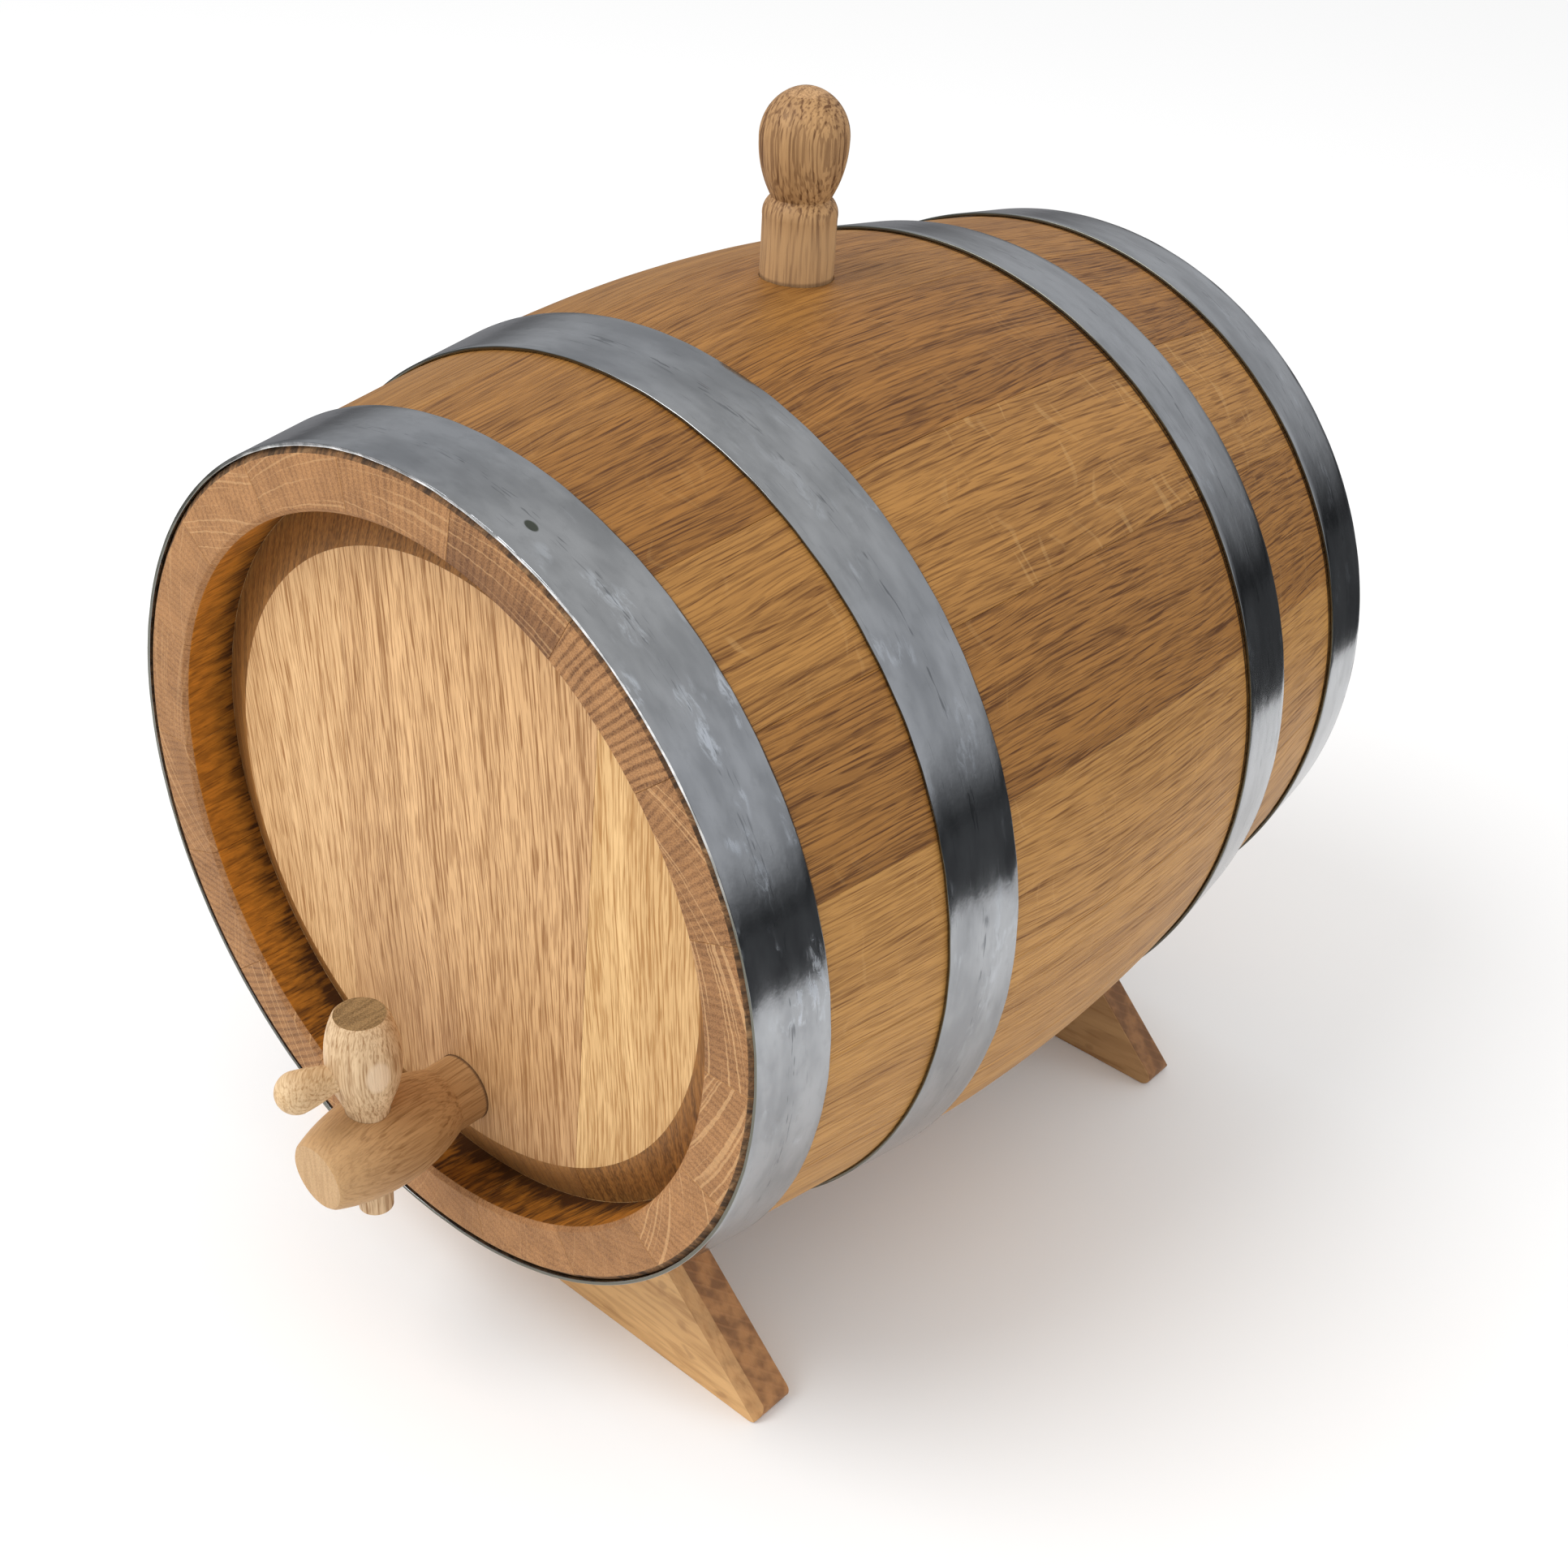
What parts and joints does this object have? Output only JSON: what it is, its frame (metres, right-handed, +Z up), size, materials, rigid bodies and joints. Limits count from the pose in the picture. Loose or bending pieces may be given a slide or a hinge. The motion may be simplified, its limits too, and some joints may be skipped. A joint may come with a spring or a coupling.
{
  "type": "oak cask liquor dispenser",
  "caption": "Small oak cask on two cradle boards, filled through a bung on top and poured through a turned wooden tap in its front head.",
  "frame": {"origin": "on the floor plane, under the middle of the object's box", "axes": "+Z up, the cask's own axis along Y with the tap at -Y, +X to the right seen from the tap's end"},
  "size_m": [0.278, 0.3508, 0.3522],
  "materials": {
    "stave_oak": "lightly waxed oak, medium golden brown",
    "head_oak": "planed pale oak",
    "tap_wood": "turned, unfinished pale wood",
    "cradle_wood": "sawn oak, golden on the face",
    "zinc_steel": "galvanised strip, cloudy and satin",
    "screw_steel": "plated, satin"
  },
  "bodies": {
    "cask": {"stave_01": "stave_oak", "stave_02": "stave_oak", "stave_03": "stave_oak", "stave_04": "stave_oak", "stave_05": "stave_oak", "stave_06": "stave_oak", "stave_07": "stave_oak", "stave_08": "stave_oak", "stave_09": "stave_oak", "stave_10": "stave_oak", "stave_11": "stave_oak", "stave_12": "stave_oak", "stave_13": "stave_oak", "stave_14": "stave_oak", "stave_15": "stave_oak", "stave_16": "stave_oak", "stave_17": "stave_oak", "stave_18": "stave_oak", "front_head_left_board": "head_oak", "front_head_middle_board": "head_oak", "front_head_right_board": "head_oak", "front_head_dowels": "tap_wood", "rear_head_left_board": "head_oak", "rear_head_middle_board": "head_oak", "rear_head_right_board": "head_oak", "rear_head_dowels": "tap_wood", "front_head_hoop": "zinc_steel", "front_bilge_hoop": "zinc_steel", "rear_bilge_hoop": "zinc_steel", "rear_head_hoop": "zinc_steel", "hoop_rivets": "zinc_steel", "tap_body": "tap_wood", "front_cradle": "cradle_wood", "rear_cradle": "cradle_wood", "cradle_screws": "screw_steel"},
    "bung": {"bung": "tap_wood"},
    "tap_key": {"tap_key": "tap_wood", "tap_peg": "tap_wood"}
  },
  "joints": [
    {"name": "bung_pull", "type": "slide", "parent": "cask", "child": "bung", "axis": [0, 0, 1], "range_m": [0, 0.03]},
    {"name": "key_turn", "type": "hinge", "parent": "cask", "child": "tap_key", "pos_m": [0, -0.14863, 0.0834], "axis": [0, 0, 1], "continuous": true}
  ]
}
